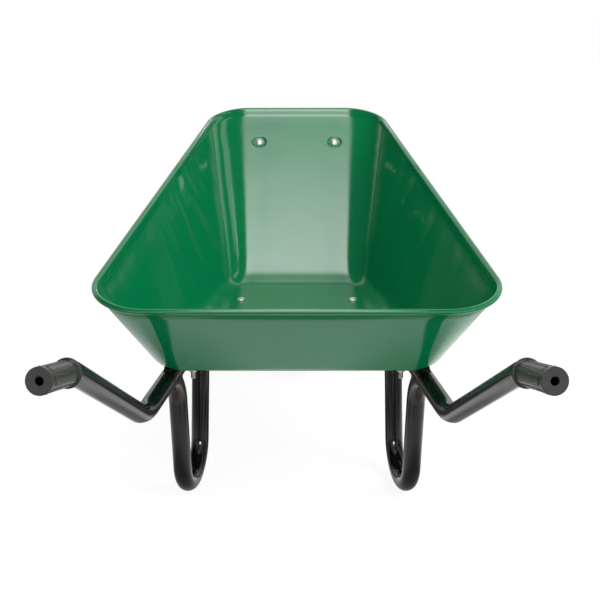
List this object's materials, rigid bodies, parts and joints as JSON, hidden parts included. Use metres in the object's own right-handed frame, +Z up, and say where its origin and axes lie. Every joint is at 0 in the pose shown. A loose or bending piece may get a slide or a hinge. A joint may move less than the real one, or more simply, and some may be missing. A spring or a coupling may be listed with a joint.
{
  "type": "wheelbarrow",
  "caption": "Single-wheel barrow: pressed steel tray with sloped front, bent tube handles with moulded grips, U-shaped tube legs and a pneumatic wheel on a fixed axle.",
  "frame": {"origin": "middle of the barrow's footprint box, on the ground the legs and the wheel stand on", "axes": "+Y forward from the handles to the wheel, +X to the user's right behind the handles, +Z up"},
  "size_m": [0.662, 1.4272, 0.569],
  "materials": {
    "tray_enamel": "gloss",
    "frame_paint": "gloss",
    "grip": "satin",
    "plug": "matt",
    "zinc": "bright zinc plate",
    "axle_steel": "satin",
    "tyre": "matt",
    "inner_tube": "matt",
    "rim_paint": "gloss",
    "bush": "satin"
  },
  "bodies": {
    "barrow": {"tray": "tray_enamel", "left_frame_tube": "frame_paint", "right_frame_tube": "frame_paint", "left_leg": "frame_paint", "right_leg": "frame_paint", "left_grip": "grip", "right_grip": "grip", "rear_crossbar": "frame_paint", "front_crossbar": "frame_paint", "left_tray_stay": "frame_paint", "right_tray_stay": "frame_paint", "left_axle_plate": "frame_paint", "right_axle_plate": "frame_paint", "left_tube_plug": "plug", "right_tube_plug": "plug", "tray_bolts": "zinc", "tray_washers": "zinc", "tray_nuts": "zinc", "axle": "axle_steel", "axle_spacers": "axle_steel", "axle_washers": "zinc", "axle_nuts": "zinc"},
    "wheel": {"tyre": "tyre", "inner_tube": "inner_tube", "left_rim_half": "rim_paint", "right_rim_half": "rim_paint", "hub": "rim_paint", "left_bush": "bush", "right_bush": "bush", "rim_bolts": "zinc", "rim_nuts": "zinc", "valve_stem": "inner_tube", "valve_cap": "plug"}
  },
  "joints": [
    {"name": "wheel_spin", "type": "hinge", "parent": "barrow", "child": "wheel", "pos_m": [0, 0.52863, 0.185], "axis": [1, 0, 0], "continuous": true}
  ]
}
